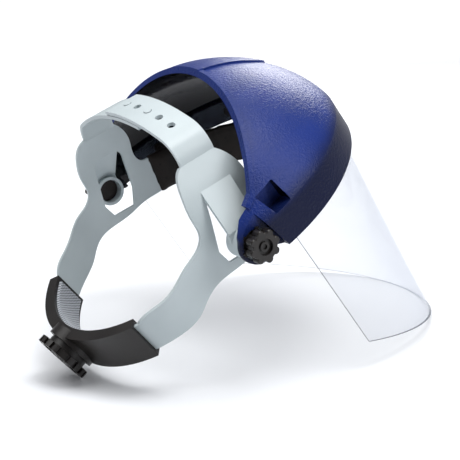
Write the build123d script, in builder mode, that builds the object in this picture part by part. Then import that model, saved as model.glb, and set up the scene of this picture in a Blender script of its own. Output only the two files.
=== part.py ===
"""Face shield: a tilting crown and clear window on an adjustable ratchet headband.

The pieces are drawn in the worn frame: the origin is on the tilt axis, X points forward,
Y to the wearer's left and Z up. At the end each piece is turned into the frame in which
the shield rests on a table, on its ratchet wheel and on the front of its window.
"""
from build123d import *
from math import asin, atan2, cos, degrees, pi, radians, sin, sqrt
import os

# ---- driving dimensions, mm ----
BAND_HALF_WIDTH = 75.0       # side frame mid-plane, from the middle of the head
BAND_WALL = 2.2
STRAP_REAR, STRAP_FRONT = -9.0, 14.0
STRAP_RISE = 70.7            # inner strap half at its top, above the tilt axis
STRAP_SHOULDER = 59.8        # inner strap half where its top arc meets the steep shoulder
STRAP_HALF_SPAN = 55.0
STRAP_STEP = 2.7             # outer strap half rides this much above the inner one
STRAP_OVERLAP = 31.0         # the inner half ends this far past the middle
STRAP_END = 7.0              # the outer half ends this far past the middle
STRAP_HOLE_RADIUS = 2.5
STRAP_HOLE_PITCH = 11.8
STRAP_FIRST_HOLE = -49.5
STRAP_PIN_RADIUS = 2.1
STRIP_LOW, STRIP_HIGH = -15.0, 11.0
STRIP_FRONT = 106.5
KNEE_START = 31.0            # the forehead strip leaves the side frames' plane here
FRAME_REAR = -19.5           # rear end of the flat side frames, where the tails begin
NAPE_DIP = 17.0              # the nape ring dips rearwards by this angle
TAIL_START = (-22.0, -20.0)  # hinge line of the dipped nape ring, forward and up
TAIL_END = (45.6, 57.0)      # where the tail meets the housing, in the nape plane
HOUSING_HALF_HEIGHT = 12.8
BOSS_RADIUS = 10.0
BOSS_IN, BOSS_FLOOR, BOSS_OUT = 84.5, 93.5, 96.7
BOLT_RADIUS = 3.0
EAR_IN, EAR_OUT = 98.1, 100.5
EAR_RADIUS = 11.2
KNOB_IN, KNOB_OUT = 101.8, 109.0
KNOB_RADIUS = 9.8
KNOB_LOBES = 8
CROWN_TILT = 10.5            # the crown's brim rises forwards by this angle
CROWN_AXIS = 20.0            # the dome is turned about this line, square to the brim
DOME_RADIUS, DOME_RISE, DOME_BASE = 108.0, 87.0, -15.0
CREASE_HEIGHT = 8.0
BRIM_RADIUS, BRIM_LOW = 105.4, -11.5
SHELL_WALL = 2.4
WINDOW_WALL = 1.2
WINDOW_TOP, WINDOW_TOP_RADIUS = 5.0, 101.0
WINDOW_FOOT, WINDOW_FOOT_RADIUS, WINDOW_FOOT_AXIS = -185.0, 112.9, 0.2
WHEEL_RADIUS, WHEEL_THICK = 17.6, 4.4
WHEEL_NOTCHES = 18
PINION_TEETH, PINION_TIP, PINION_ROOT = 9, 4.4, 3.2
SHAFT_RADIUS = 2.5
WHEEL_HUB = 7.5
SCREW_HEAD, SCREW_SHANK, SCREW_LENGTH, SCREW_SEAT = 3.6, 1.2, 7.0, 2.2
STEP_TOP = (6.5, 21.0)       # top of the step between the dome and the ear
BRIM_CORNER = (14.2, BRIM_LOW)        # lower rear corner of the dome
BAND_LIFT, CENTRE_BAND_HALF, CENTRE_BAND_FRONT = 1.3, 17.0, 108.0
LIP_LIFT, LIP_WIDTH = 0.9, 2.6
EAR_HOLE, EAR_RIM = 8.9, 1.5
DISC_TABS, DISC_RADIUS, TAB_REACH, TAB_WIDTH = 6, 6.2, 1.0, 2.2
SIDE_OPENING = [(14.1, 21.0), (17.9, 7.6), (29.7, 8.2), (28.4, 22.2)]
POCKET_BACK, POCKET_FLOOR, POCKET_WALL = 91.8, 93.3, 1.5
WINDOW_REAR, WINDOW_CORNER, WINDOW_CHIN = (20.8, 5.0), (24.4, -99.0), (125.0, -178.5)
PEG_ANGLES = (-72, -38, 0, 38, 72)
PEG_TIP, PEG_HEIGHT, PEG_SHANK, PEG_HEAD, PEG_HEAD_FACE = 103.6, -3.0, 1.8, 3.8, 99.3
INSERT_RADIUS, INSERT_LENGTH = 4.9, 4.4
RACK_TEETH = 14
RACK_TOOTH = 0.6             # tooth height beyond the rack's edge
TAIL_PLUG = 4.0              # degrees of tail that stand inside the housing mouth
CHANNEL_HALF_HEIGHT = 10.8
PAD_THICK = 2.2
RACK_EDGE = 5.4              # toothed edge of a rack, from the nape plane
RACK_LONG, RACK_SHORT = 28.0, 18.0    # degrees of rack on each side of the pinion
RACK_PITCH = 3.0
SWEAT_START, SWEAT_INSET, SWEAT_THICK = 30.0, 1.0, 8.0
REST_PITCH = 19.4            # the worn frame is turned front-up by this angle at rest

# ---- derived dimensions ----
nape = Plane(
    origin=(TAIL_START[0], 0, TAIL_START[1]),
    x_dir=(-cos(radians(NAPE_DIP)), 0, -sin(radians(NAPE_DIP))),
    z_dir=(-sin(radians(NAPE_DIP)), 0, cos(radians(NAPE_DIP))),
)
tail_turn = 2 * atan2(BAND_HALF_WIDTH - TAIL_END[1], TAIL_END[0])
NAPE_RADIUS = TAIL_END[1] / cos(tail_turn)
NAPE_CENTRE = TAIL_END[0] - NAPE_RADIUS * sin(tail_turn)
MOUTH_ANGLE = degrees(pi / 2 - tail_turn)
CHANNEL_IN, CHANNEL_OUT = NAPE_RADIUS - 1.5, NAPE_RADIUS + 1.5
HOUSING_IN, HOUSING_OUT = NAPE_RADIUS - 3.5, NAPE_RADIUS + 3.9
crease_radius = DOME_RADIUS * sqrt(1 - ((CREASE_HEIGHT - DOME_BASE) / DOME_RISE) ** 2)
HOUSING_FACE = NAPE_CENTRE + HOUSING_OUT
WHEEL_FACE = 79.8            # front face of the wheel, rearwards in the nape plane
STRAP_MIDDLE = (STRAP_REAR + STRAP_FRONT) / 2
UPWARD = (Align.CENTER, Align.CENTER, Align.MIN)
strap_sagitta = STRAP_RISE - STRAP_SHOULDER
strap_radius = (STRAP_HALF_SPAN ** 2 + strap_sagitta ** 2) / (2 * strap_sagitta)


def strap_seat(index, lift):
    """Place on top of the inner strap half, square to it, where a hole stands."""
    turn = (STRAP_FIRST_HOLE + STRAP_HOLE_PITCH * index) / strap_radius
    foot = strap_radius + BAND_WALL / 2 + lift
    height = STRAP_RISE - strap_radius + foot * cos(turn)
    return Location((STRAP_MIDDLE, foot * sin(turn), height), (-degrees(turn), 0, 0))


def front_path(start, inset=0.0):
    """Forehead line in plan: straight sides from start, then two arcs and a round front."""
    side = BAND_HALF_WIDTH - inset
    lines = []
    for sign in (1, -1):
        straight = Line((start, sign * side), (KNEE_START, sign * side))
        knee = (74 - inset * 0.56, sign * (61 - inset * 0.83))
        lines += [straight, TangentArc(straight @ 1, knee, tangent=(1, 0))]
    front = (STRIP_FRONT - inset, 0)
    lines.append(ThreePointArc((knee[0], -knee[1]), front, knee))
    return lines


def rear_plane(distance):
    """Plane across the ratchet axis, at a distance rearwards in the nape frame."""
    return Plane(
        origin=nape.origin + nape.x_dir * distance,
        x_dir=nape.y_dir,
        z_dir=nape.x_dir,
    )


def ring_sector(inner, outer, half_angle, low, high, start_angle=None):
    """Solid arc of the nape ring, between two radii, two heights and two angles."""
    begin = -half_angle if start_angle is None else start_angle
    with BuildPart() as sector:
        with BuildSketch(nape.offset(low)):
            with BuildLine():
                outside = CenterArc((NAPE_CENTRE, 0), outer, begin, half_angle - begin)
                inside = CenterArc((NAPE_CENTRE, 0), inner, begin, half_angle - begin)
                Line(outside @ 0, inside @ 0)
                Line(outside @ 1, inside @ 1)
            make_face()
        extrude(amount=high - low)
    return sector.part


def crown_side(across=0.0):
    """Side plane of the crown's own tilted frame, at a distance to the wearer's left."""
    return Plane(
        origin=(0, across, 0),
        x_dir=(cos(radians(CROWN_TILT)), 0, sin(radians(CROWN_TILT))),
        z_dir=(0, -1, 0),
    )


crown_plan = Plane(
    origin=(0, 0, 0),
    x_dir=(cos(radians(CROWN_TILT)), 0, sin(radians(CROWN_TILT))),
    z_dir=(-sin(radians(CROWN_TILT)), 0, cos(radians(CROWN_TILT))),
)
crown_turn = Axis(crown_plan.from_local_coords(Vector(CROWN_AXIS, 0, 0)), crown_plan.z_dir)


def peg_plane(angle, radius):
    """Plane facing outwards on the skirt, at an angle from straight ahead."""
    local = Vector(cos(radians(angle)), sin(radians(angle)), 0)
    origin = crown_plan.from_local_coords(Vector(CROWN_AXIS, 0, PEG_HEIGHT) + local * radius)
    outwards = crown_plan.x_dir * local.X + crown_plan.y_dir * local.Y
    return Plane(origin=origin, x_dir=crown_plan.z_dir, z_dir=outwards)


def dome_body(inset, brim_low=BRIM_LOW):
    """Solid of the crown's outer form, shrunk inwards by inset, down to a brim height."""
    radius = DOME_RADIUS - inset
    rise = DOME_RISE - inset
    crease_sine = (CREASE_HEIGHT - DOME_BASE) / rise
    flare = (BRIM_RADIUS - crease_radius) / (CREASE_HEIGHT - BRIM_LOW)
    brim = crease_radius - inset + flare * (CREASE_HEIGHT - brim_low)
    with BuildPart() as body:
        with BuildSketch(crown_side()):
            with BuildLine():
                dome = EllipticalCenterArc(
                    (CROWN_AXIS, DOME_BASE), radius, rise,
                    start_angle=degrees(asin(crease_sine)),
                    arc_size=90 - degrees(asin(crease_sine)))
                Polyline(dome @ 1, (CROWN_AXIS, brim_low), (CROWN_AXIS + brim, brim_low), dome @ 0)
            make_face()
        revolve(axis=crown_turn, revolution_arc=360)
    return body.part


# ---- headband: one moulding, with the strap halves, side frames, tongues and tails ----
rear_outline = [
    (STRAP_REAR, 47.5), (-14, 44.3), (-18.2, 34), (-19.2, 20), (-19, 9.5), (-24, 3.6), (-33, -0.8),
    (-45, -10), (-53, -14.4), (-61, -17.5), (-67, -22.8),
]
plug_outline = [(-67, -22.8), (-78, -26.2), (-72, -46.4), (-61, -42.7)]
lower_outline = [
    (-61, -42.7), (-47, -38.0), (-37, -33.0), (-30, -26.3), (-22, -21.2), (-10, -19.2),
    (2, -18.2), (13, -15.8), (22, STRIP_LOW),
]
front_outline = [(30, STRIP_HIGH), (24.8, 13), (22.4, 19), (23.0, 29.5), (20.5, 39), (STRAP_FRONT, 47.5)]
slot_outline = [(-7, 28), (-11.8, -4), (-8, -13.2), (8, -13.6), (12.4, -2), (14.8, 28)]

with BuildPart() as band_side:
    # side silhouette of the frames and tails, right across the head
    with BuildSketch(Plane.XZ):
        with BuildLine():
            Spline(*rear_outline)
            Polyline(*plug_outline)
            Spline(*lower_outline)
            Polyline((22, STRIP_LOW), (30, STRIP_LOW), (30, STRIP_HIGH))
            Spline(*front_outline)
            Line((STRAP_FRONT, 47.5), (STRAP_REAR, 47.5))
        make_face()
    extrude(amount=100, both=True)
    with BuildSketch(Plane.XZ) as slot:
        with BuildLine():
            Polyline(*slot_outline, close=True)
        make_face()
        fillet(slot.vertices().sort_by(Axis.Z)[:2], radius=6)
    extrude(amount=100, both=True, mode=Mode.SUBTRACT)

with BuildPart() as side_frames:
    with BuildSketch(Plane.YZ.offset(FRAME_REAR)):
        with BuildLine():
            for side in (1, -1):
                Line((side * BAND_HALF_WIDTH, -50), (side * BAND_HALF_WIDTH, 12))
                ThreePointArc((side * BAND_HALF_WIDTH, 12), (side * 72.6, 31), (side * 65, 47.5))
        trace(line_width=BAND_WALL)
    extrude(amount=60)
    add(band_side.part, mode=Mode.INTERSECT)

with BuildPart() as tongue:
    with BuildSketch(Plane.YZ.offset(-16)):
        with BuildLine():
            Polyline((72.4, 31.5), (90.2, 9), (89.4, -12))
        trace(line_width=BAND_WALL)
    extrude(amount=34)
    with BuildSketch(Plane.XZ) as tongue_sketch:
        with BuildLine():
            Polyline((-7.2, 33), (-9.2, 8), (10.2, 8), (13.6, 33), close=True)
        make_face()
        Circle(BOSS_RADIUS)
        with Locations((0, 4.5)):
            Rectangle(19.0, 9.0)
    extrude(amount=100, both=True, mode=Mode.INTERSECT)
    # hollow boss: a ring towards the head, and a floor with the bolt's hole
    for start, depth, opening in (
        (BOSS_IN, BOSS_FLOOR - BOSS_IN, BOSS_RADIUS - 2.0),
        (BOSS_FLOOR, BOSS_OUT - BOSS_FLOOR, BOLT_RADIUS + 0.05),
    ):
        with BuildSketch(Plane.XZ.offset(-start)):
            Circle(opening)
        extrude(amount=-depth, mode=Mode.SUBTRACT)
        with BuildSketch(Plane.XZ.offset(-start)):
            Circle(BOSS_RADIUS)
            Circle(opening, mode=Mode.SUBTRACT)
        extrude(amount=-depth)

with BuildPart() as strap:
    # the wearer's left half, inside, and the right half over it
    for sign, lift, reach in ((1, 0.0, -STRAP_OVERLAP), (-1, STRAP_STEP, STRAP_END)):
        shoulder = (sign * STRAP_HALF_SPAN, STRAP_SHOULDER + lift)
        with BuildSketch(Plane.YZ.offset(STRAP_REAR)):
            with BuildLine():
                ThreePointArc((sign * 65, 46), (sign * 62.8, 54 + lift / 2), shoulder)
                top = (0, STRAP_RISE + lift)
                ThreePointArc(shoulder, top, (-shoulder[0], shoulder[1]))
            trace(line_width=BAND_WALL)
            with Locations((-sign * 100 + reach, 70)):
                Rectangle(200, 100, mode=Mode.SUBTRACT)
        extrude(amount=STRAP_FRONT - STRAP_REAR)
    # five holes in the outer half, and two pins of the inner half that stand in them
    for index in range(5):
        with Locations(strap_seat(index, 0.0)):
            Cylinder(STRAP_HOLE_RADIUS, 8, align=UPWARD, mode=Mode.SUBTRACT)
    for index in (2, 4):
        with Locations(strap_seat(index, -1.0)):
            Cylinder(STRAP_PIN_RADIUS, 4.0, align=UPWARD)

with BuildPart() as front_strip:
    with BuildSketch(Plane.XY.offset(STRIP_LOW)):
        with BuildLine():
            front_path(24)
        trace(line_width=BAND_WALL)
    extrude(amount=STRIP_HIGH - STRIP_LOW)

with BuildPart() as tails:
    with BuildSketch(nape.offset(-60)):
        with BuildLine():
            for side in (1, -1):
                start = Line((-14, side * BAND_HALF_WIDTH), (0, side * BAND_HALF_WIDTH))
                TangentArc(start @ 1, (TAIL_END[0], side * TAIL_END[1]), tangent=(1, 0))
                CenterArc((NAPE_CENTRE, 0), NAPE_RADIUS, side * MOUTH_ANGLE, -side * TAIL_PLUG)
        trace(line_width=BAND_WALL)
    extrude(amount=120)
    add(band_side.part, mode=Mode.INTERSECT)

with BuildPart() as headband:
    add(tongue.part)
    mirror(about=Plane.XZ)
    add(side_frames.part)
    add(strap.part)
    add(front_strip.part)
    add(tails.part)
headband.part.label = "headband"

# ---- sweatband: foam and vinyl wrapped round the front strip ----
with BuildPart() as sweatband:
    with BuildSketch(Plane.XY.offset(STRIP_LOW - 2)):
        with BuildLine():
            front_path(SWEAT_START, SWEAT_INSET)
        trace(line_width=SWEAT_THICK)
    extrude(amount=STRIP_HIGH - STRIP_LOW + 4)
    with BuildSketch(Plane.XY.offset(STRIP_LOW - 0.05)):
        with BuildLine():
            front_path(20)
        trace(line_width=BAND_WALL + 0.1)
    extrude(amount=STRIP_HIGH - STRIP_LOW + 0.1, mode=Mode.SUBTRACT)
sweatband.part.label = "sweatband"

# ---- nape housing: an outer cover with the channel, an inner cover and its pad ----
housing = ring_sector(CHANNEL_IN, HOUSING_OUT, MOUTH_ANGLE, -HOUSING_HALF_HEIGHT, HOUSING_HALF_HEIGHT)
channel = ring_sector(CHANNEL_IN - 1, CHANNEL_OUT, MOUTH_ANGLE + 5, -CHANNEL_HALF_HEIGHT,
                      CHANNEL_HALF_HEIGHT)
with BuildPart() as nape_housing:
    add(housing)
    # stepped boss behind the ratchet wheel
    with BuildSketch(rear_plane(HOUSING_FACE - 6)):
        Circle(16)
    extrude(amount=6 + 1.6)
    with BuildSketch(rear_plane(HOUSING_FACE)):
        Circle(13)
    extrude(amount=WHEEL_FACE - HOUSING_FACE - 0.4)
    add(ring_sector(60, CHANNEL_IN, 60, -30, 30), mode=Mode.SUBTRACT)
    add(channel, mode=Mode.SUBTRACT)
    with BuildSketch(rear_plane(HOUSING_FACE - 12)):
        Circle(SHAFT_RADIUS + 0.3)
    extrude(amount=30, mode=Mode.SUBTRACT)
    with BuildSketch(rear_plane(WHEEL_FACE - 3.2)):
        Circle(10)
    extrude(amount=10, mode=Mode.SUBTRACT)
nape_housing.part.label = "nape_housing"

with BuildPart() as nape_cover:
    add(ring_sector(HOUSING_IN, CHANNEL_IN, MOUTH_ANGLE, -HOUSING_HALF_HEIGHT, HOUSING_HALF_HEIGHT))
nape_cover.part.label = "nape_cover"

with BuildPart() as nape_pad:
    add(ring_sector(HOUSING_IN - PAD_THICK, HOUSING_IN, MOUTH_ANGLE - 2.5,
                    -HOUSING_HALF_HEIGHT + 2.2, HOUSING_HALF_HEIGHT - 2.2))
nape_pad.part.label = "nape_pad"

# ---- racks: the toothed ends of the two tails, one above the pinion and one below ----
def rack(side):
    """Toothed strip in the upper (side 1) or lower (side -1) half of the channel."""
    wall_in, wall_out = CHANNEL_IN + 0.4, CHANNEL_OUT - 0.4
    low, high = sorted((side * RACK_EDGE, side * (CHANNEL_HALF_HEIGHT - 0.4)))
    begin, end = sorted((-side * RACK_SHORT, side * RACK_LONG))
    tooth_low, tooth_high = sorted((side * (RACK_EDGE + 0.5), side * (RACK_EDGE - RACK_TOOTH)))
    with BuildPart() as piece:
        add(ring_sector(wall_in, wall_out, end, low, high, begin))
        with BuildSketch(nape.offset(tooth_low)):
            with Locations((NAPE_CENTRE, 0)):
                with PolarLocations(NAPE_RADIUS, RACK_TEETH, begin + 1.2, end - begin - 2.4,
                                    endpoint=True):
                    Rectangle(wall_out - wall_in - 0.1, RACK_PITCH / 2)
        extrude(amount=tooth_high - tooth_low)
    return piece.part


rack_left = rack(-1)
rack_left.label = "rack_left"
rack_right = rack(1)
rack_right.label = "rack_right"

# ---- ratchet: wheel, pinion on its shaft, screw and click spring ----
with BuildPart() as ratchet_wheel:
    with BuildSketch(rear_plane(WHEEL_FACE)):
        Circle(WHEEL_RADIUS)
        with PolarLocations(WHEEL_RADIUS, WHEEL_NOTCHES):
            Rectangle(3.6, 2.4, mode=Mode.SUBTRACT)
    extrude(amount=WHEEL_THICK)
    with BuildSketch(rear_plane(WHEEL_FACE + WHEEL_THICK)):
        Circle(WHEEL_RADIUS - 4)
        Circle(WHEEL_HUB, mode=Mode.SUBTRACT)
    extrude(amount=-1.4, mode=Mode.SUBTRACT)
    with BuildSketch(rear_plane(WHEEL_FACE)):
        Circle(WHEEL_RADIUS - 4)
        Circle(WHEEL_HUB + 2, mode=Mode.SUBTRACT)
    extrude(amount=1.0, mode=Mode.SUBTRACT)
    with BuildSketch(rear_plane(WHEEL_FACE + WHEEL_THICK)):
        Circle(SCREW_HEAD + 0.2)
    extrude(amount=-SCREW_SEAT, mode=Mode.SUBTRACT)
    with BuildSketch(rear_plane(WHEEL_FACE)):
        Circle(SHAFT_RADIUS)
    extrude(amount=WHEEL_THICK, mode=Mode.SUBTRACT)
ratchet_wheel.part.label = "ratchet_wheel"

with BuildPart() as ratchet_pinion:
    with BuildSketch(rear_plane(NAPE_CENTRE + CHANNEL_IN + 0.35)):
        Circle(PINION_ROOT)
        with PolarLocations((PINION_TIP + PINION_ROOT) / 2 - 0.3, PINION_TEETH):
            Rectangle(PINION_TIP - PINION_ROOT + 0.6, 1.4)
    extrude(amount=CHANNEL_OUT - CHANNEL_IN - 0.7)
    shaft_end = WHEEL_FACE + WHEEL_THICK - SCREW_SEAT
    with BuildSketch(rear_plane(NAPE_CENTRE + CHANNEL_OUT - 0.5)):
        Circle(SHAFT_RADIUS)
    extrude(amount=shaft_end - NAPE_CENTRE - CHANNEL_OUT + 0.5)
    with BuildSketch(rear_plane(shaft_end)):
        Circle(SCREW_SHANK)
    extrude(amount=-SCREW_LENGTH, mode=Mode.SUBTRACT)
ratchet_pinion.part.label = "ratchet_pinion"

with BuildPart() as ratchet_screw:
    with BuildSketch(rear_plane(shaft_end)):
        Circle(SCREW_SHANK)
    extrude(amount=-SCREW_LENGTH + 0.5)
    with BuildSketch(rear_plane(shaft_end)):
        Circle(SCREW_HEAD)
    extrude(amount=1.8)
    with BuildSketch(rear_plane(shaft_end + 1.8)):
        Rectangle(5.2, 1.0)
        Rectangle(1.0, 5.2)
    extrude(amount=-1.0, mode=Mode.SUBTRACT)
ratchet_screw.part.label = "ratchet_screw"

with BuildPart() as click_spring:
    with BuildSketch(rear_plane(WHEEL_FACE - 3.1)):
        Circle(9.5)
        Circle(SHAFT_RADIUS + 1.2, mode=Mode.SUBTRACT)
        with PolarLocations(7.2, 6):
            SlotOverall(3.4, 1.2, rotation=90, mode=Mode.SUBTRACT)
    extrude(amount=0.6)
click_spring.part.label = "click_spring"

# ---- crown: dome, recessed ears, raised centre band and rear lip ----
rear_edge = [(74, 78), (46, 53.5), (29.5, 39.4), (13.2, 24.0), STEP_TOP]
with BuildPart() as centre_band:
    # low raised band along the ridge, from the rear edge to above the brow
    add(dome_body(-BAND_LIFT))
    with BuildSketch(crown_plan.offset(15)):
        SlotOverall(2 * CENTRE_BAND_FRONT, 2 * CENTRE_BAND_HALF)
    extrude(amount=60, mode=Mode.INTERSECT)

with BuildPart() as rear_lip:
    # bead along the rear edge
    add(dome_body(-LIP_LIFT))
    with BuildSketch(crown_side()):
        with BuildLine():
            Polyline(*rear_edge)
        trace(line_width=2 * LIP_WIDTH)
    extrude(amount=120, both=True, mode=Mode.INTERSECT)

with BuildPart() as crown_dome:
    add(dome_body(0))
    add(centre_band.part)
    add(rear_lip.part)
    add(dome_body(SHELL_WALL, BRIM_LOW - 10), mode=Mode.SUBTRACT)
    with BuildSketch(crown_side()):
        with BuildLine():
            Polyline(*rear_edge, BRIM_CORNER, (150, BRIM_LOW), (150, 90), (74, 90),
                     close=True)
        make_face()
    extrude(amount=130, both=True, mode=Mode.INTERSECT)

with BuildPart() as ear:
    # recessed plate round the tilt axis, and the step up to the dome in front of it
    with BuildSketch(crown_side(EAR_IN)) as ear_sketch:
        Circle(EAR_RADIUS)
        with BuildLine():
            Polyline((-EAR_RADIUS, 1.2), (-7.2, 10.2), (STEP_TOP[0] - 2, STEP_TOP[1] + 2),
                     (STEP_TOP[0] + 4, STEP_TOP[1] + 2), (BRIM_CORNER[0] + 2.5, BRIM_CORNER[1]),
                     BRIM_CORNER, (9.5, -8.8), (0, 0), close=True)
        make_face()
    extrude(amount=EAR_IN - EAR_OUT)
    with BuildSketch(crown_side(EAR_IN)):
        with BuildLine():
            Polyline(STEP_TOP, (STEP_TOP[0] + SHELL_WALL, STEP_TOP[1] + 1),
                     (BRIM_CORNER[0] + SHELL_WALL, BRIM_CORNER[1]), BRIM_CORNER, close=True)
        make_face()
    extrude(amount=-20)
    # raised rim round the ear
    with BuildSketch(crown_side(EAR_OUT)):
        with BuildLine():
            Line((2.5, 21.5), (-EAR_RADIUS + 0.9, 2.0))
            CenterArc((0, 0), EAR_RADIUS - 0.8, 169, 161)
        trace(line_width=1.6)
    extrude(amount=-EAR_RIM)
    add(dome_body(0, BRIM_LOW - 8), mode=Mode.INTERSECT)
    with BuildSketch(crown_side(EAR_IN)):
        Circle(EAR_HOLE)
        with PolarLocations(EAR_HOLE, DISC_TABS):
            Rectangle(2 * TAB_REACH + 0.2, TAB_WIDTH + 0.1)
    extrude(amount=-10, mode=Mode.SUBTRACT)

with BuildPart() as slot_pocket:
    # walled pocket behind the square opening
    with BuildSketch(crown_side(POCKET_BACK)):
        with BuildLine():
            Polyline(*SIDE_OPENING, close=True)
        make_face()
        offset(amount=POCKET_WALL, kind=Kind.INTERSECTION)
    extrude(amount=-30)
    add(dome_body(SHELL_WALL / 2, BRIM_LOW - 8), mode=Mode.INTERSECT)

with BuildPart() as crown_shell:
    add(ear.part)
    add(slot_pocket.part)
    mirror(about=Plane.XZ)
    add(crown_dome.part)
    # square opening above each ear, down to the floor of its pocket
    for side in (1, -1):
        with BuildSketch(crown_side(side * POCKET_FLOOR)) as opening:
            with BuildLine():
                Polyline(*SIDE_OPENING, close=True)
            make_face()
            fillet(opening.vertices(), radius=0.8)
        extrude(amount=-side * 30, mode=Mode.SUBTRACT)
    # blind seats of the window pegs
    for angle in PEG_ANGLES:
        with BuildSketch(peg_plane(angle, PEG_TIP)):
            Circle(PEG_SHANK + 0.1)
        extrude(amount=-6, mode=Mode.SUBTRACT)
crown_shell.part.label = "crown_shell"

# ---- window: clear sheet rolled to a slanting cone, hung inside the skirt ----
with BuildPart() as window:
    for inset, mode in ((0.0, Mode.ADD), (WINDOW_WALL, Mode.SUBTRACT)):
        with BuildSketch(crown_plan.offset(WINDOW_TOP)):
            with Locations((CROWN_AXIS, 0)):
                Circle(WINDOW_TOP_RADIUS - inset)
        with BuildSketch(crown_plan.offset(WINDOW_FOOT)):
            with Locations((WINDOW_FOOT_AXIS, 0)):
                Circle(WINDOW_FOOT_RADIUS - inset)
        loft(ruled=True, mode=mode)
    with BuildSketch(crown_side()) as window_side:
        with BuildLine():
            Polyline((WINDOW_REAR[0], WINDOW_TOP + 1), WINDOW_CORNER, WINDOW_CHIN,
                     (WINDOW_CHIN[0], WINDOW_TOP + 1), close=True)
        make_face()
        fillet(window_side.vertices().sort_by_distance(
            crown_plan.from_local_coords(Vector(WINDOW_CORNER[0], 0, WINDOW_CORNER[1])))[0], radius=11)
    extrude(amount=130, both=True, mode=Mode.INTERSECT)
    for angle in PEG_ANGLES:
        with BuildSketch(peg_plane(angle, PEG_TIP)):
            Circle(PEG_SHANK + 0.1)
        extrude(amount=-8, mode=Mode.SUBTRACT)
window.part.label = "window"

with BuildPart() as window_pegs:
    for angle in PEG_ANGLES:
        with BuildSketch(peg_plane(angle, PEG_TIP - 0.1)):
            Circle(PEG_SHANK)
        extrude(amount=-6)
        with BuildSketch(peg_plane(angle, PEG_HEAD_FACE)):
            Circle(PEG_HEAD)
        extrude(amount=-1.4)
window_pegs.part.label = "window_pegs"

# ---- tilt joints: bolt, washer, tabbed disc, knob and its insert, on each side ----
with BuildPart() as bolt:
    with BuildSketch(Plane.XZ.offset(-BOSS_FLOOR)):
        Circle(BOSS_RADIUS - 2.6)
    extrude(amount=3.4)
    with BuildSketch(Plane.XZ.offset(-BOSS_FLOOR)):
        Circle(BOLT_RADIUS)
    extrude(amount=-(KNOB_OUT - 4.2 - BOSS_FLOOR))

with BuildPart() as washer:
    with BuildSketch(Plane.XZ.offset(-BOSS_OUT)):
        Circle(7.2)
        Circle(BOLT_RADIUS + 0.05, mode=Mode.SUBTRACT)
    extrude(amount=-1.2)

with BuildPart() as disc:
    with BuildSketch(crown_side(EAR_IN)):
        Circle(DISC_RADIUS)
        with PolarLocations((EAR_HOLE + TAB_REACH) / 2, DISC_TABS):
            Rectangle(EAR_HOLE + TAB_REACH, TAB_WIDTH)
        Circle(BOLT_RADIUS + 0.05, mode=Mode.SUBTRACT)
    extrude(amount=-(KNOB_IN - EAR_IN - 0.4))

with BuildPart() as knob:
    with BuildSketch(Plane.XZ.offset(-KNOB_OUT)):
        Circle(KNOB_RADIUS - 1.8)
        with PolarLocations(KNOB_RADIUS - 2.2, KNOB_LOBES):
            Circle(2.2)
    extrude(amount=KNOB_OUT - KNOB_IN - 2)
    chamfer(knob.faces().sort_by(Axis.Y)[-1].outer_wire().edges(), length=0.5)
    with BuildSketch(Plane.XZ.offset(-KNOB_IN)):
        Circle(KNOB_RADIUS - 3.4)
    extrude(amount=-2)
    with BuildSketch(Plane.XZ.offset(-KNOB_OUT)):
        Circle(4.7)
    extrude(amount=1.8, mode=Mode.SUBTRACT)
    with BuildSketch(Plane.XZ.offset(-KNOB_OUT + 1.8)):
        Circle(2.8)
        Circle(1.5, mode=Mode.SUBTRACT)
    extrude(amount=-1.0)
    with BuildSketch(Plane.XZ.offset(-KNOB_IN)):
        RegularPolygon(INSERT_RADIUS, 6)
    extrude(amount=-INSERT_LENGTH, mode=Mode.SUBTRACT)

with BuildPart() as insert:
    with BuildSketch(Plane.XZ.offset(-KNOB_IN)):
        RegularPolygon(INSERT_RADIUS, 6)
        Circle(BOLT_RADIUS + 0.03, mode=Mode.SUBTRACT)
    extrude(amount=-INSERT_LENGTH)

tilt_pieces = {
    "pivot_bolt": bolt.part,
    "friction_washer": washer.part,
    "tilt_disc": disc.part,
    "tilt_knob": knob.part,
    "knob_insert": insert.part,
}

# ---- stand the shield up in its resting place and write every piece ----
pieces = [
    headband.part, sweatband.part, nape_housing.part, nape_cover.part, nape_pad.part,
    rack_left, rack_right, ratchet_wheel.part, ratchet_pinion.part, ratchet_screw.part,
    click_spring.part, crown_shell.part, window.part, window_pegs.part,
]
for name, piece in tilt_pieces.items():
    piece.label = name + "_left"
    opposite = piece.mirror(Plane.XZ)
    opposite.label = name + "_right"
    pieces += [piece, opposite]

turned = {piece.label: piece.rotate(Axis.Y, -REST_PITCH) for piece in pieces}
box = Compound(children=[solid.rotate(Axis.Z, 0) for solid in turned.values()]).bounding_box()
to_table = Vector(-(box.min.X + box.max.X) / 2, -(box.min.Y + box.max.Y) / 2, -box.min.Z)
os.makedirs("parts", exist_ok=True)
for name, solid in turned.items():
    export_step(solid.translate(to_table), f"parts/{name}.step")
print("tilt axis at", to_table, "size", box.size)
for name in ("ratchet_wheel", "window"):
    print(name, "lowest", turned[name].bounding_box().min.Z - box.min.Z)
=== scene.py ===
"""Face shield: a blue crown with a clear window, tilted up or down on side knobs, on a
ratchet headband with a crown strap, a sweatband and a nape pad. It rests on a table on its
ratchet wheel and on the foot of its window. Lengths are in metres unless a name says mm."""

import bpy
import numpy as np
from mathutils import Matrix, Vector


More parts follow.
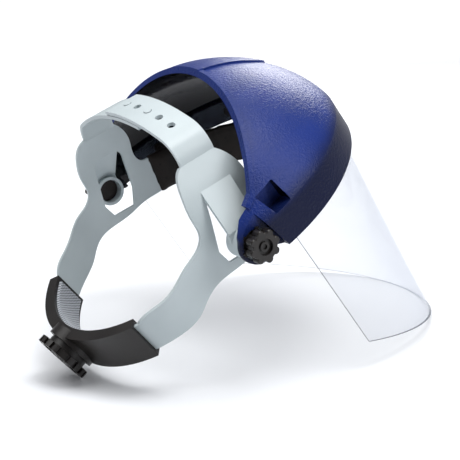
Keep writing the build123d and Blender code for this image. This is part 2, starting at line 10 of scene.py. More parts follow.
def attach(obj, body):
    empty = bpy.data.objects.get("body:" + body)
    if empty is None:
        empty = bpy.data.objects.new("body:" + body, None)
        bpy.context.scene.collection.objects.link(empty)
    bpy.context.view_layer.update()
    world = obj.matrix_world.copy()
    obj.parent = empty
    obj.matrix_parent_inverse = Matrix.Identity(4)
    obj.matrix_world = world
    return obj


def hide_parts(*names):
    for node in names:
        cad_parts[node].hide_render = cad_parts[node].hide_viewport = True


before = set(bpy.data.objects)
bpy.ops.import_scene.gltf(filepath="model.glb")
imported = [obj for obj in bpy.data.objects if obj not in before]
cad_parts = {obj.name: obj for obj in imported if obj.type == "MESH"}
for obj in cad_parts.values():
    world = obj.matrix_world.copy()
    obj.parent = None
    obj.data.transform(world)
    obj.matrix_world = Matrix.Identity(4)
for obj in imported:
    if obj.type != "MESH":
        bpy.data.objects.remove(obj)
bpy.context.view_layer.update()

# ---- camera, studio light and table ----
# A long lens looks down at the shield from behind its left side. One broad overhead panel,
# a smaller one above the near side, one at the far right and one at the near right light it,
# over a white table.
view_point = Vector((-0.3245, -0.5406, 0.2398))
view_forward = Vector((0.4948, 0.8291, -0.2604)).normalized()
view_up = Vector((0.1937, 0.1869, 0.9631))
view_right = view_forward.cross(view_up).normalized()
view_up = view_right.cross(view_forward)
camera_data = bpy.data.cameras.new("camera")
camera_data.lens = 78.26
camera_data.sensor_width = 36.0
camera_data.clip_start = 0.05
camera = bpy.data.objects.new("camera", camera_data)
bpy.context.scene.collection.objects.link(camera)
turn = Matrix((view_right, view_up, -view_forward)).transposed().to_4x4()
camera.matrix_world = Matrix.Translation(view_point) @ turn
bpy.context.scene.camera = camera
bpy.context.scene.view_settings.view_transform = "Standard"


def linear(code, alpha=1.0):
    """Linear RGBA of an sRGB hex code: each channel through the sRGB transfer curve."""
    channels = [int(code[i:i + 2], 16) / 255 for i in (0, 2, 4)]
    curve = [c / 12.92 if c <= 0.04045 else ((c + 0.055) / 1.055) ** 2.4 for c in channels]
    return (*curve, alpha)


def panel(name, place, aim, size, power, tint="ffffff"):
    """Square soft light of a side length, at a place, facing an aim point."""
    data = bpy.data.lights.new(name, "AREA")
    data.size = size
    data.energy = power
    data.color = linear(tint)[:3]
    lamp = bpy.data.objects.new(name, data)
    bpy.context.scene.collection.objects.link(lamp)
    lamp.location = place
    facing = Vector(aim) - Vector(place)
    lamp.rotation_euler = facing.to_track_quat("-Z", "Y").to_euler()
    return lamp


SHIELD_MIDDLE = (0, 0, 0.08)
panel("overhead", (-0.35, 0.25, 1.3), SHIELD_MIDDLE, 1.3, 15.0)
panel("overhead_near", (0.1, -0.4, 1.2), (0, 0, 0.1), 0.45, 7.0)
panel("far_right", (0.85, 0.75, 0.75), (0, 0, 0.1), 0.6, 9.0)
panel("near_right", (0.55, -1.05, 0.9), SHIELD_MIDDLE, 0.6, 9.0)
world = bpy.data.worlds.new("studio")
bpy.context.scene.world = world
world.use_nodes = True
world.node_tree.nodes["Background"].inputs["Color"].default_value = linear("fbfcff")
world.node_tree.nodes["Background"].inputs["Strength"].default_value = 0.26


def finish_named(name, **values):
    """New node material: a Principled surface with fixed values on its own sockets."""
    material = bpy.data.materials.new(name)
    material.use_nodes = True
    surface = material.node_tree.nodes["Principled BSDF"]
    for key, value in values.items():
        surface.inputs[key.replace("_", " ")].default_value = value
    return material, surface


def node(material, kind, inputs=(), **settings):
    """One node of a kind, with its settings; inputs pairs a socket with a value or a link."""
    made = material.node_tree.nodes.new("ShaderNode" + kind)
    for key, value in settings.items():
        setattr(made, key, value)
    for socket, value in dict(inputs).items():
        if isinstance(value, bpy.types.NodeSocket):
            material.node_tree.links.new(value, made.inputs[socket])
        else:
            made.inputs[socket].default_value = value
    return made


def join(material, source, target):
    """Link from an output to an input."""
    material.node_tree.links.new(source, target)


def two_tone(material, factor, low, high, low_at=0.0, high_at=1.0):
    """Colour that runs from one hex code to another while a factor goes low_at to high_at."""
    ramp = node(material, "ValToRGB", {"Fac": factor})
    for stop, code, place in zip(ramp.color_ramp.elements, (low, high), (low_at, high_at)):
        stop.position = place
        stop.color = linear(code)
    return ramp.outputs["Color"]


def grain_bump(material, height, strength, depth):
    """Normal of a bump of that height socket, strength and depth in metres."""
    bump = node(material, "Bump", {"Height": height, "Strength": strength, "Distance": depth})
    return bump.outputs["Normal"]


def mesh_piece(name, points, faces, material, smooth=True):
    """New object at the origin from rows of points and faces, with one material."""
    data = bpy.data.meshes.new(name)
    data.from_pydata(np.asarray(points, float).tolist(), [], [list(face) for face in faces])
    data.polygons.foreach_set("use_smooth", [smooth] * len(data.polygons))
    data.materials.append(material)
    data.update()
    piece = bpy.data.objects.new(name, data)
    bpy.context.scene.collection.objects.link(piece)
    return piece


# White laminated paper sheet: matt, with a very faint fibre mottle.
table_paper, paper = finish_named("matt_white_paper", Roughness=0.75)
paper_place = node(table_paper, "TexCoord")
fibre = node(table_paper, "TexNoise", {"Vector": paper_place.outputs["Object"],
                                       "Scale": 12.0, "Detail": 2.0})
fibre_tone = two_tone(table_paper, fibre.outputs["Fac"], "dfe1e5", "e6e8eb")
join(table_paper, fibre_tone, paper.inputs["Base Color"])
# the sheet sweeps away behind the shield under its own light
paper_sweep = node(table_paper, "VectorMath", {0: paper_place.outputs["Object"],
                                               1: (0.51, 0.86, 0)}, operation="DOT_PRODUCT")
paper_glow = node(table_paper, "MapRange", {"Value": paper_sweep.outputs["Value"],
                                            "From Min": 0.35, "From Max": 2.2,
                                            "To Max": 0.9},
                  interpolation_type="SMOOTHSTEP")
join(table_paper, paper_glow.outputs["Result"], paper.inputs["Emission Strength"])
paper.inputs["Emission Color"].default_value = linear("ffffff")
REACH = 60.0
floor = mesh_piece("table", [(-REACH, -REACH, 0), (REACH, -REACH, 0), (REACH, REACH, 0),
                             (-REACH, REACH, 0)], [(0, 1, 2, 3)], table_paper, smooth=False)

# ---- headband: frames, tongues, tails and crown strap ----
# One moulding of pale blue-grey polyethylene, bent to a ring, with the crown strap's halves
# pinned together over the head and round bosses on the bent-out tongues.
band_plastic, band = finish_named("moulded_polyethylene_pale_grey", Roughness=0.36, IOR=1.51,
                                  Specular_IOR_Level=0.4)
band_place = node(band_plastic, "TexCoord")
# slow tone changes from the flow of the melt, about 40 mm across
flow = node(band_plastic, "TexNoise", {"Vector": band_place.outputs["Object"],
                                       "Scale": 25.0, "Detail": 3.0})
flow_tone = two_tone(band_plastic, flow.outputs["Fac"], "aab4b7", "b5bfc2", 0.3, 0.7)
join(band_plastic, flow_tone, band.inputs["Base Color"])
# fine spark texture of the mould, 0.8 mm, and faint handling gloss changes
spark = node(band_plastic, "TexNoise", {"Vector": band_place.outputs["Object"],
                                        "Scale": 1250.0, "Detail": 2.0})
spark_normal = grain_bump(band_plastic, spark.outputs["Fac"], 0.06, 0.0004)
join(band_plastic, spark_normal, band.inputs["Normal"])
rub = node(band_plastic, "TexNoise", {"Vector": band_place.outputs["Object"],
                                      "Scale": 70.0, "Detail": 4.0})
rub_gloss = node(band_plastic, "MapRange", {"Value": rub.outputs["Fac"], "To Min": 0.30,
                                            "To Max": 0.44})
join(band_plastic, rub_gloss.outputs["Result"], band.inputs["Roughness"])


def dress(name, material):
    """The CAD node of that name gets a material in all its slots."""
    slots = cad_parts[name].data.materials
    if len(slots) == 0:
        slots.append(material)
    for index in range(len(slots)):
        slots[index] = material


for name in ("headband", "rack_left", "rack_right"):
    dress(name, band_plastic)

# ---- sweatband ----
# A folded strip of foam with a black-brown vinyl skin, wrapped over the forehead strip and
# welded in vertical seams, with a few punched holes between them and a welded border.
REST_PITCH = 19.4               # degrees the worn shield is turned nose up on the table
REST_TURN = np.radians(REST_PITCH)
TILT_AXIS = np.array([-0.0454108, 0.0, 0.0903292])


def worn_to_row(points, turn=REST_TURN):
    """Points in mm in a frame on the tilt axis, nose up by turn, to metres in the row."""
    forward, across, up = np.moveaxis(np.asarray(points, float) / 1000, -1, 0)
    return np.stack([forward * np.cos(turn) - up * np.sin(turn), across,
                     forward * np.sin(turn) + up * np.cos(turn)], -1) + TILT_AXIS


def arc_through(start, middle, end, count):
    """Points of the circle through three plane points, from start to end."""
    a, b, c = (complex(*p) for p in (start, middle, end))
    w = (c - a) / (b - a)
    centre = a + (b - a) * (w - abs(w) ** 2) / (2j * w.imag)
    sweep = np.angle((c - centre) / (a - centre))
    if np.angle((b - centre) / (a - centre)) * sweep < 0:
        sweep -= np.sign(sweep) * 2 * np.pi
    points = centre + (a - centre) * np.exp(1j * sweep * np.linspace(0, 1, count))
    return np.stack([points.real, points.imag], -1)


def along(points):
    """Running length along a polyline."""
    return np.concatenate([[0], np.cumsum(np.linalg.norm(np.diff(points, axis=0), axis=1))])


def swept_shell(path, section):
    """Closed skin: section (across, up) carried along a plane path, ends closed by fans.
    Point = path(t) + across * left normal(t), at height up."""
    tangent = np.gradient(path, axis=0)
    tangent /= np.linalg.norm(tangent, axis=1)[:, None]
    left = np.stack([-tangent[:, 1], tangent[:, 0]], -1)
    plan = path[:, None, :] + left[:, None, :] * section[None, :, :1]
    heights = np.broadcast_to(section[None, :, 1:], plan.shape[:2] + (1,))
    rings = np.concatenate([plan, heights], -1)
    count, around = rings.shape[:2]
    index = np.arange(count * around).reshape(count, around)
    beside = np.roll(index, -1, axis=1)
    sides = np.stack([index[:-1], beside[:-1], beside[1:], index[1:]], -1).reshape(-1, 4)
    caps = [index[0][::-1].tolist(), index[-1].tolist()]
    return rings.reshape(-1, 3), sides.tolist() + caps


KNEE = (73.44, 60.17)           # where the side bend meets the brow arc
BROW_FRONT = 105.5
side_line = np.array([(30.0, 74.0), (31.0, 74.0)])
chord = np.array(KNEE) - side_line[1]
knee_radius = (chord @ chord) / (2 * -chord[1])
knee_turn = 2 * np.arctan2(-chord[1], chord[0])
knee_angles = np.linspace(0, knee_turn, 40)[1:]
knee_arc = side_line[1] + knee_radius * np.stack([np.sin(knee_angles),
                                                  np.cos(knee_angles) - 1], -1)
brow_arc = arc_through(KNEE, (BROW_FRONT, 0), (KNEE[0], -KNEE[1]), 120)
brow_path = np.concatenate([side_line, knee_arc, brow_arc[1:],
                            (knee_arc * [1, -1])[::-1][1:], (side_line * [1, -1])[::-1]])
even = np.linspace(0, along(brow_path)[-1], 150)
brow_path = np.stack([np.interp(even, along(brow_path), brow_path[:, i]) for i in (0, 1)], -1)


def rounded_section(half_across, low, high, radius, count=7):
    """Rounded rectangle as a closed loop of (across, up), counter-clockwise."""
    quarter = np.linspace(0, np.pi / 2, count)
    corners = []
    for step, (x, z) in enumerate([(half_across, high), (-half_across, high),
                                   (-half_across, low), (half_across, low)]):
        angle = quarter + step * np.pi / 2
        centre = np.array([x - np.sign(x) * radius, z - radius if z == high else z + radius])
        corners.append(centre + radius * np.stack([np.cos(angle), np.sin(angle)], -1))
    return np.concatenate(corners)


SWELL_FRAMES = 20


def swell(piece, voxel, pressure, most):
    """Voxel remesh, then 20 frames of weightless cloth under inner pressure. A point moves at
    most this far from where it was, and the result is applied with one subdivision."""
    bpy.context.view_layer.objects.active = piece
    for other in bpy.context.selected_objects:
        other.select_set(False)
    piece.select_set(True)
    remesh = piece.modifiers.new("remesh", "REMESH")
    remesh.mode = "VOXEL"
    remesh.voxel_size = voxel
    remesh.use_smooth_shade = True
    bpy.ops.object.modifier_apply(modifier="remesh")
    start = np.zeros(len(piece.data.vertices) * 3)
    piece.data.vertices.foreach_get("co", start)
    moved = start
    cloth = piece.modifiers.new("cloth", "CLOTH")
    cloth.settings.quality = 6
    cloth.settings.mass = 0.2
    cloth.settings.tension_stiffness = 20
    cloth.settings.compression_stiffness = 20
    cloth.settings.bending_stiffness = 2
    cloth.settings.use_pressure = True
    cloth.settings.uniform_pressure_force = pressure
    cloth.settings.effector_weights.gravity = 0
    cloth.point_cache.frame_start = 1
    cloth.point_cache.frame_end = SWELL_FRAMES
    scene = bpy.context.scene
    for step in range(1, SWELL_FRAMES + 1):
        scene.frame_set(step)
    seen = piece.evaluated_get(bpy.context.evaluated_depsgraph_get())
    moved = np.zeros(len(seen.data.vertices) * 3)
    seen.data.vertices.foreach_get("co", moved)
    piece.modifiers.remove(cloth)
    scene.frame_set(1)
    shift = (moved - start).reshape(-1, 3)
    length = np.linalg.norm(shift, axis=1)
    shift *= np.minimum(1, most / np.maximum(length, 1e-9))[:, None]
    piece.data.vertices.foreach_set("co", (start.reshape(-1, 3) + shift).ravel())
    finer = piece.modifiers.new("finer", "SUBSURF")
    finer.levels = 1
    finer.render_levels = 1
    bpy.ops.object.modifier_apply(modifier="finer")
    piece.data.polygons.foreach_set("use_smooth", [True] * len(piece.data.polygons))


def float_attribute(piece, name, values):
    """One number for each point, for a material to read."""
    layer = piece.data.attributes.new(name, "FLOAT", "POINT")
    layer.data.foreach_set("value", np.asarray(values, np.float32))


vinyl, vinyl_skin = finish_named("embossed_vinyl_over_foam", Roughness=0.55, IOR=1.5,
                                 Specular_IOR_Level=0.2)
FOAM_HALF, FOAM_LOW, FOAM_HIGH, FOAM_ROUND = 3.2, -16.6, 12.6, 2.6
foam_section = rounded_section(FOAM_HALF, FOAM_LOW, FOAM_HIGH, FOAM_ROUND)
band_points, band_faces = swept_shell(brow_path, foam_section)
sweatband = mesh_piece("sweatband_pad", worn_to_row(band_points), band_faces, vinyl)
swell(sweatband, 0.0028, 4.0, 0.0012)
skin = np.zeros(len(sweatband.data.vertices) * 3)
sweatband.data.vertices.foreach_get("co", skin)
skin = skin.reshape(-1, 3)
away = skin - TILT_AXIS
worn = np.stack([away[:, 0] * np.cos(REST_TURN) + away[:, 2] * np.sin(REST_TURN), away[:, 1],
                 away[:, 2] * np.cos(REST_TURN) - away[:, 0] * np.sin(REST_TURN)], -1) * 1000
gap = np.linalg.norm(worn[:, None, :2] - brow_path[None], axis=2)
near = gap.argmin(1)
path_tangent = np.gradient(brow_path, axis=0)
path_tangent /= np.linalg.norm(path_tangent, axis=1)[:, None]
path_left = np.stack([-path_tangent[:, 1], path_tangent[:, 0]], -1)
offset = worn[:, :2] - brow_path[near]
beyond = (offset * path_tangent[near]).sum(1)
run = even[near] + beyond - even[-1] / 2
outward = (offset * path_left[near]).sum(1)
# welded seams every 26 mm and a border line 3.2 mm in from each long edge
SEAM_PITCH, BORDER_INSET = 26.0, 3.2
seam = np.abs((run / SEAM_PITCH) % 1 - 0.5) * SEAM_PITCH
rise = worn[:, 2]
border = np.minimum(np.abs(rise - (FOAM_HIGH - BORDER_INSET)),
                    np.abs(rise - (FOAM_LOW + BORDER_INSET)))
groove = 0.8 * np.exp(-(seam / 0.8) ** 2) + 0.5 * np.exp(-(border / 0.7) ** 2)
groove *= np.clip((np.abs(outward) - 1.8) / 1.0, 0, 1)
inward = -np.sign(outward)[:, None] * path_left[near] * groove[:, None] / 1000
step_x, step_y = inward[:, 0], inward[:, 1]
skin += np.stack([step_x * np.cos(REST_TURN), step_y, step_x * np.sin(REST_TURN)], -1)
sweatband.data.vertices.foreach_set("co", skin.ravel())
float_attribute(sweatband, "run", run)
float_attribute(sweatband, "rise", rise)
# skin: warm near-black vinyl with a 1 mm leather grain; holes of 1.3 mm punched in pairs, drawn
# only as near-black dots: painted shade inside the holes
vinyl_place = node(vinyl, "TexCoord")
grain = node(vinyl, "TexVoronoi", {"Vector": vinyl_place.outputs["Object"], "Scale": 900.0})
grain_normal = grain_bump(vinyl, grain.outputs["Distance"], 0.25, 0.0004)
join(vinyl, grain_normal, vinyl_skin.inputs["Normal"])
mottle = node(vinyl, "TexNoise", {"Vector": vinyl_place.outputs["Object"], "Scale": 90.0,
                                  "Detail": 4.0})
vinyl_tone = two_tone(vinyl, mottle.outputs["Fac"], "110d0b", "1c1613", 0.35, 0.7)
run_at = node(vinyl, "Attribute", attribute_name="run")
rise_at = node(vinyl, "Attribute", attribute_name="rise")
# distance to the nearest hole: 13 mm apart along the strip and 11 mm apart up it
HOLE_RUN, HOLE_RISE, HOLE_SHIFT = 13.0, 5.5, 2.0
run_cell = node(vinyl, "Math", {0: run_at.outputs["Fac"], 1: HOLE_RUN}, operation="PINGPONG")
rise_shift = node(vinyl, "Math", {0: rise_at.outputs["Fac"], 1: HOLE_SHIFT}, operation="ADD")
rise_cell = node(vinyl, "Math", {0: rise_shift.outputs["Value"], 1: HOLE_RISE},
                 operation="PINGPONG")
run_near = node(vinyl, "Math", {0: run_cell.outputs["Value"], 1: HOLE_RUN / 2},
                operation="SUBTRACT")
rise_near = node(vinyl, "Math", {0: rise_cell.outputs["Value"], 1: HOLE_RISE},
                 operation="SUBTRACT")
hole_place = node(vinyl, "CombineXYZ", {"X": run_near.outputs["Value"],
                                        "Y": rise_near.outputs["Value"]})
hole_far = node(vinyl, "VectorMath", {0: hole_place.outputs["Vector"]}, operation="LENGTH")
hole_edge = node(vinyl, "MapRange", {"Value": hole_far.outputs["Value"], "From Min": 0.55,
                                     "From Max": 0.85})
# painted shade: each hole is a dot of near-black 050404, standing in for the shade inside it
holes_painted_shade = node(vinyl, "Mix", {0: hole_edge.outputs["Result"], 6: linear("050404"),
                            7: vinyl_tone}, data_type="RGBA")
join(vinyl, holes_painted_shade.outputs[2], vinyl_skin.inputs["Base Color"])
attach(sweatband, "headgear")
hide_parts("sweatband")

# ---- nape housing and its pad ----
# Two black-brown nylon mouldings snapped together round the tails, with a thick upper rim
# and a stepped boss for the wheel; a knurled grey foam pad is stuck to the inside.
nylon, nylon_skin = finish_named("moulded_nylon_black", Roughness=0.34, IOR=1.53,
                                 Specular_IOR_Level=0.35)
nylon_place = node(nylon, "TexCoord")
nylon_cloud = node(nylon, "TexNoise", {"Vector": nylon_place.outputs["Object"], "Scale": 60.0,
                                       "Detail": 3.0})
nylon_tone = two_tone(nylon, nylon_cloud.outputs["Fac"], "100d0c", "1a1614", 0.3, 0.75)
join(nylon, nylon_tone, nylon_skin.inputs["Base Color"])
# fine mould texture, drawn at 0.7 mm so that it shows
nylon_grain = node(nylon, "TexNoise", {"Vector": nylon_place.outputs["Object"],
                                       "Scale": 1400.0, "Detail": 2.0})
nylon_normal = grain_bump(nylon, nylon_grain.outputs["Fac"], 0.12, 0.0004)
join(nylon, nylon_normal, nylon_skin.inputs["Normal"])
nylon_wear = node(nylon, "MapRange", {"Value": nylon_cloud.outputs["Fac"], "To Min": 0.26,
                                      "To Max": 0.46})
join(nylon, nylon_wear.outputs["Result"], nylon_skin.inputs["Roughness"])
for name in ("nape_housing", "nape_cover", "ratchet_wheel", "window_pegs"):
    dress(name, nylon)

NAPE_DIP = np.radians(17.0)
NAPE_ORIGIN = np.array([-22.0, 0.0, -20.0])
NAPE_BACK = np.array([-np.cos(NAPE_DIP), 0, -np.sin(NAPE_DIP)])
NAPE_SIDE = np.array([0.0, -1.0, 0.0])
NAPE_UP = np.array([-np.sin(NAPE_DIP), 0, np.cos(NAPE_DIP)])
PAD_CENTRE, PAD_OUTER, PAD_HALF_TURN, PAD_HALF_HEIGHT = -7.706, 74.52, 44.2, 10.5
KNURL = 2.6                     # pitch of the diamonds, in mm
PAD_GRID = (250, 49)            # points along the pad and up it
PAD_LEAST, PAD_RISE, KNURL_RISE, PAD_ROUND = 0.25, 1.5, 0.45, 1.6
angle_row = np.radians(np.linspace(-PAD_HALF_TURN, PAD_HALF_TURN, PAD_GRID[0]))
height_row = np.linspace(-PAD_HALF_HEIGHT, PAD_HALF_HEIGHT, PAD_GRID[1])
angle, height = np.meshgrid(angle_row, height_row, indexing="ij")
arc = angle * PAD_OUTER
# crowned thickness, falling to the edges, with a diamond of two crossed waves on top
edge = np.minimum(PAD_HALF_HEIGHT - np.abs(height),
                  np.radians(PAD_HALF_TURN) * PAD_OUTER - np.abs(arc))
crown = np.sqrt(np.clip(1 - (1 - np.clip(edge / PAD_ROUND, 0, 1)) ** 2, 0, 1))
diamond = (np.abs(np.sin(np.pi * (arc + height) / KNURL))
           * np.abs(np.sin(np.pi * (arc - height) / KNURL)))
thick = PAD_LEAST + crown * (PAD_RISE + KNURL_RISE * diamond)


def nape_point(radius, turn_angle, up):
    """Point of the nape frame at a radius and turn round the head's centre, and a height."""
    back = PAD_CENTRE + radius * np.cos(turn_angle)
    side = radius * np.sin(turn_angle)
    return (NAPE_ORIGIN + back[..., None] * NAPE_BACK + side[..., None] * NAPE_SIDE
            + up[..., None] * NAPE_UP)


front = nape_point(PAD_OUTER - thick, angle, height)
back = nape_point(np.full_like(thick, PAD_OUTER + 0.05), angle, height)
grid = np.arange(angle.size).reshape(angle.shape)
quads = np.stack([grid[:-1, :-1], grid[1:, :-1], grid[1:, 1:], grid[:-1, 1:]], -1).reshape(-1, 4)
rim = np.concatenate([grid[:, 0], grid[-1, 1:], grid[::-1, -1][1:], grid[0, ::-1][1:]])
walls = np.stack([rim[:-1], rim[1:], rim[1:] + angle.size, rim[:-1] + angle.size], -1)
pad_faces = np.concatenate([quads, quads[:, ::-1] + angle.size, walls[:, ::-1]])
knurled, knurled_skin = finish_named("knurled_grey_foam", Roughness=0.42, IOR=1.5)
nape_pad = mesh_piece("nape_pad_knurled", worn_to_row(np.concatenate([
    front.reshape(-1, 3), back.reshape(-1, 3)])), pad_faces, knurled)
float_attribute(nape_pad, "knurl", np.concatenate([diamond.ravel(), diamond.ravel() * 0]))
# painted shade and glint: the grey pad is coloured near black in the valleys of the diamonds and
# light grey on their tops
knurl_at = node(knurled, "Attribute", attribute_name="knurl")
knurl_shade_and_glint = two_tone(knurled, knurl_at.outputs["Fac"], "2f3134", "a9aeb5", 0.05, 0.55)
join(knurled, knurl_shade_and_glint, knurled_skin.inputs["Base Color"])
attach(nape_pad, "headgear")
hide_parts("nape_pad")

# ---- ratchet: pinion, screw and click spring ----
# The wheel turns an acetal pinion between the two racks; a zinc-plated screw and a spring
# steel washer hold it, and both are mostly hidden.
acetal, acetal_skin = finish_named("moulded_acetal_ivory", Roughness=0.3, IOR=1.48)
acetal_place = node(acetal, "TexCoord")
acetal_cloud = node(acetal, "TexNoise", {"Vector": acetal_place.outputs["Object"],
                                         "Scale": 200.0})
acetal_tone = two_tone(acetal, acetal_cloud.outputs["Fac"], "c4c1b6", "d6d3c9")
join(acetal, acetal_tone, acetal_skin.inputs["Base Color"])
dress("ratchet_pinion", acetal)
zinc, zinc_skin = finish_named("zinc_plated_steel", Metallic=1.0, Roughness=0.3)
zinc_place = node(zinc, "TexCoord")
zinc_cloud = node(zinc, "TexNoise", {"Vector": zinc_place.outputs["Object"], "Scale": 400.0,
                                     "Detail": 3.0})
zinc_tone = two_tone(zinc, zinc_cloud.outputs["Fac"], "9a9da2", "c2c5c9")
join(zinc, zinc_tone, zinc_skin.inputs["Base Color"])
zinc_gloss = node(zinc, "MapRange", {"Value": zinc_cloud.outputs["Fac"], "To Min": 0.2,
                                     "To Max": 0.42})
join(zinc, zinc_gloss.outputs["Result"], zinc_skin.inputs["Roughness"])
for name in ("ratchet_screw", "click_spring"):
    dress(name, zinc)

# ---- crown ----
# Injection-moulded nylon in royal blue: pebble grained and satin outside, polished inside.
# The inside is painted nearly black: painted shade inside the dome. The band below the soft
# crease faces down and is painted a darker navy: painted shade.
CROWN_TILT = 10.5               # degrees that the brim rises forwards when worn
CROWN_TURN = np.radians(REST_PITCH + CROWN_TILT)
crown_nylon, crown_skin = finish_named("moulded_nylon_royal_blue", Roughness=0.36, IOR=1.53,
                                       Specular_IOR_Level=0.18)
crown_place = node(crown_nylon, "TexCoord")
crown_frame = node(crown_nylon, "Mapping", {
    "Vector": crown_place.outputs["Object"], "Location": tuple(TILT_AXIS),
    "Rotation": (0, -CROWN_TURN, 0)}, vector_type="TEXTURE")
crown_axes = node(crown_nylon, "SeparateXYZ", {"Vector": crown_frame.outputs["Vector"]})
# painted shade: below the crease the band facing down is mixed towards a darker navy 070f2e
skirt_painted_shade = node(crown_nylon, "MapRange", {"Value": crown_axes.outputs["Z"], "From Min": 0.004,
                                       "From Max": 0.017}, interpolation_type="SMOOTHSTEP")
shade_cloud = node(crown_nylon, "TexNoise", {"Vector": crown_place.outputs["Object"],
                                             "Scale": 30.0, "Detail": 3.0})
dome_tone = two_tone(crown_nylon, shade_cloud.outputs["Fac"], "132662", "182d72", 0.3, 0.7)
outer_tone_skirt_shaded = node(crown_nylon, "Mix", {0: skirt_painted_shade.outputs["Result"], 6: linear("070f2e"),
                                       7: dome_tone}, data_type="RGBA")
# outside faces look away from the middle of the dome, inside faces look at it; inside faces are
# painted nearly black as shade
middle = Vector(worn_to_row([20.0, 0.0, -15.0], CROWN_TURN))
from_middle = node(crown_nylon, "VectorMath", {0: crown_place.outputs["Object"],
                                               1: middle}, operation="SUBTRACT")
facing_out = node(crown_nylon, "VectorMath", {0: crown_place.outputs["Normal"],
                                              1: from_middle.outputs["Vector"]},
                  operation="DOT_PRODUCT")
outside = node(crown_nylon, "MapRange", {"Value": facing_out.outputs["Value"],
                                         "From Min": -0.004, "From Max": 0.0})
# painted shade: inside faces get near-black 05060d in place of the blue
crown_tone_inner_shaded = node(crown_nylon, "Mix", {0: outside.outputs["Result"], 6: linear("05060d"),
                                       7: outer_tone_skirt_shaded.outputs[2]}, data_type="RGBA")
join(crown_nylon, crown_tone_inner_shaded.outputs[2], crown_skin.inputs["Base Color"])
crown_gloss = node(crown_nylon, "MapRange", {"Value": outside.outputs["Result"],
                                             "To Min": 0.1, "To Max": 0.34})
join(crown_nylon, crown_gloss.outputs["Result"], crown_skin.inputs["Roughness"])
# pebble grain about 1.3 mm across
pebble = node(crown_nylon, "TexVoronoi", {"Vector": crown_place.outputs["Object"],
                                          "Scale": 760.0}, feature="SMOOTH_F1")
pebble_fine = node(crown_nylon, "TexNoise", {"Vector": crown_place.outputs["Object"],
                                             "Scale": 1500.0, "Detail": 2.0})
pebbles = node(crown_nylon, "Math", {0: pebble.outputs["Distance"],
                                     1: pebble_fine.outputs["Fac"]}, operation="ADD")
pebble_deep = node(crown_nylon, "Math", {0: outside.outputs["Result"], 1: 0.42},
                   operation="MULTIPLY")
crown_normal = grain_bump(crown_nylon, pebbles.outputs["Value"],
                          pebble_deep.outputs["Value"], 0.0005)
join(crown_nylon, crown_normal, crown_skin.inputs["Normal"])
dress("crown_shell", crown_nylon)

# ---- window ----
# Clear polished polycarbonate sheet, 1.2 mm, with a faint blue cast. Its sawn edge faces are
# painted dark grey and nearly opaque: painted shade for how the edges look dark against white.
clear_sheet, sheet_skin = finish_named("clear_polycarbonate", Roughness=0.03, IOR=1.58)
sheet_place = node(clear_sheet, "TexCoord")
sheet_frame = node(clear_sheet, "Mapping", {
    "Vector": sheet_place.outputs["Object"], "Location": tuple(TILT_AXIS),
    "Rotation": (0, -CROWN_TURN, 0)}, vector_type="TEXTURE")
sheet_normal = node(clear_sheet, "Mapping", {
    "Vector": sheet_place.outputs["Normal"], "Rotation": (0, -CROWN_TURN, 0)},
    vector_type="TEXTURE")
# radial direction from the slanting cone's axis; an edge face looks across it
sheet_radial = node(clear_sheet, "VectorMath", {0: sheet_frame.outputs["Vector"],
                                                1: (0.010, 0, 0)}, operation="SUBTRACT")
sheet_level = node(clear_sheet, "VectorMath", {0: sheet_radial.outputs["Vector"],
                                               1: (1, 1, 0)}, operation="MULTIPLY")
sheet_unit = node(clear_sheet, "VectorMath", {0: sheet_level.outputs["Vector"]},
                  operation="NORMALIZE")
sheet_facing = node(clear_sheet, "VectorMath", {0: sheet_unit.outputs["Vector"],
                                                1: sheet_normal.outputs["Vector"]},
                    operation="DOT_PRODUCT")
sheet_flat = node(clear_sheet, "Math", {0: sheet_facing.outputs["Value"]},
                  operation="ABSOLUTE")
edge_face_painted_dark = node(clear_sheet, "MapRange", {"Value": sheet_flat.outputs["Value"],
                                           "From Min": 0.5, "From Max": 0.75,
                                           "To Min": 1.0, "To Max": 0.0})
# painted shade: edge faces are coloured dark grey 2d323a, the rest a pale blue-grey tint
sheet_tone_edge_shade = node(clear_sheet, "Mix", {0: edge_face_painted_dark.outputs["Result"], 6: linear("8f9ab0"),
                                       7: linear("2d323a")}, data_type="RGBA")
join(clear_sheet, sheet_tone_edge_shade.outputs[2], sheet_skin.inputs["Base Color"])
haze = node(clear_sheet, "TexNoise", {"Vector": sheet_place.outputs["Object"], "Scale": 8.0,
                                      "Detail": 2.0})
haze_least = node(clear_sheet, "MapRange", {"Value": haze.outputs["Fac"], "To Min": 0.07,
                                            "To Max": 0.10})
# more of the sheet is looked through where it turns away
sheet_turned = node(clear_sheet, "LayerWeight", {"Blend": 0.35})
turned_most = node(clear_sheet, "Math", {0: sheet_turned.outputs["Facing"], 1: 2.5},
                   operation="POWER")
turned_add = node(clear_sheet, "Math", {0: turned_most.outputs["Value"], 1: 0.4},
                  operation="MULTIPLY")
haze_most = node(clear_sheet, "Math", {0: haze_least.outputs["Result"],
                                       1: turned_add.outputs["Value"]}, operation="ADD")
# edge faces are also made nearly opaque, so that the painted dark grey shows
sheet_alpha = node(clear_sheet, "Mix", {0: edge_face_painted_dark.outputs["Result"],
                                        2: haze_most.outputs["Value"], 3: 0.85},
                   data_type="FLOAT")
join(clear_sheet, sheet_alpha.outputs[0], sheet_skin.inputs["Alpha"])
dress("window", clear_sheet)

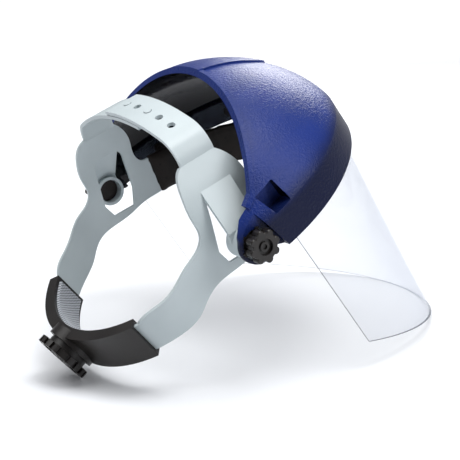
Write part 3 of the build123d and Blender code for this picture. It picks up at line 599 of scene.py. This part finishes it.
# ---- tilt joints ----
# Black glass-filled nylon knobs with eight lobes and tabbed discs, a rubber friction
# washer on each boss and a brass nut moulded into each knob.
knob_nylon, knob_skin = finish_named("glass_filled_nylon_black", Roughness=0.38, IOR=1.53,
                                    Specular_IOR_Level=0.4)
knob_place = node(knob_nylon, "TexCoord")
knob_cloud = node(knob_nylon, "TexNoise", {"Vector": knob_place.outputs["Object"],
                                           "Scale": 140.0, "Detail": 4.0})
knob_tone = two_tone(knob_nylon, knob_cloud.outputs["Fac"], "0f0c0b", "1e1917", 0.3, 0.75)
join(knob_nylon, knob_tone, knob_skin.inputs["Base Color"])
knob_grain = node(knob_nylon, "TexNoise", {"Vector": knob_place.outputs["Object"],
                                           "Scale": 1100.0, "Detail": 2.0})
knob_normal = grain_bump(knob_nylon, knob_grain.outputs["Fac"], 0.2, 0.0004)
join(knob_nylon, knob_normal, knob_skin.inputs["Normal"])
rubber, rubber_skin = finish_named("moulded_rubber_black", Roughness=0.7, IOR=1.52)
rubber_place = node(rubber, "TexCoord")
rubber_cloud = node(rubber, "TexNoise", {"Vector": rubber_place.outputs["Object"],
                                         "Scale": 500.0})
rubber_tone = two_tone(rubber, rubber_cloud.outputs["Fac"], "141313", "222020")
join(rubber, rubber_tone, rubber_skin.inputs["Base Color"])
brass, brass_skin = finish_named("turned_brass", Metallic=1.0, Roughness=0.28)
brass_place = node(brass, "TexCoord")
brass_cloud = node(brass, "TexNoise", {"Vector": brass_place.outputs["Object"],
                                       "Scale": 500.0})
brass_tone = two_tone(brass, brass_cloud.outputs["Fac"], "a5843f", "c9a75c")
join(brass, brass_tone, brass_skin.inputs["Base Color"])
# black-oxided steel of the bolts: dark, satin, with a faint brown cloud
oxide, oxide_skin = finish_named("black_oxide_steel", Metallic=0.6, Roughness=0.4)
oxide_place = node(oxide, "TexCoord")
oxide_cloud = node(oxide, "TexNoise", {"Vector": oxide_place.outputs["Object"],
                                       "Scale": 250.0, "Detail": 3.0})
oxide_tone = two_tone(oxide, oxide_cloud.outputs["Fac"], "120f0e", "231d1a")
join(oxide, oxide_tone, oxide_skin.inputs["Base Color"])
for side in ("left", "right"):
    dress("pivot_bolt_" + side, oxide)
    dress("tilt_knob_" + side, knob_nylon)
    dress("tilt_disc_" + side, knob_nylon)
    dress("friction_washer_" + side, rubber)
    dress("knob_insert_" + side, brass)
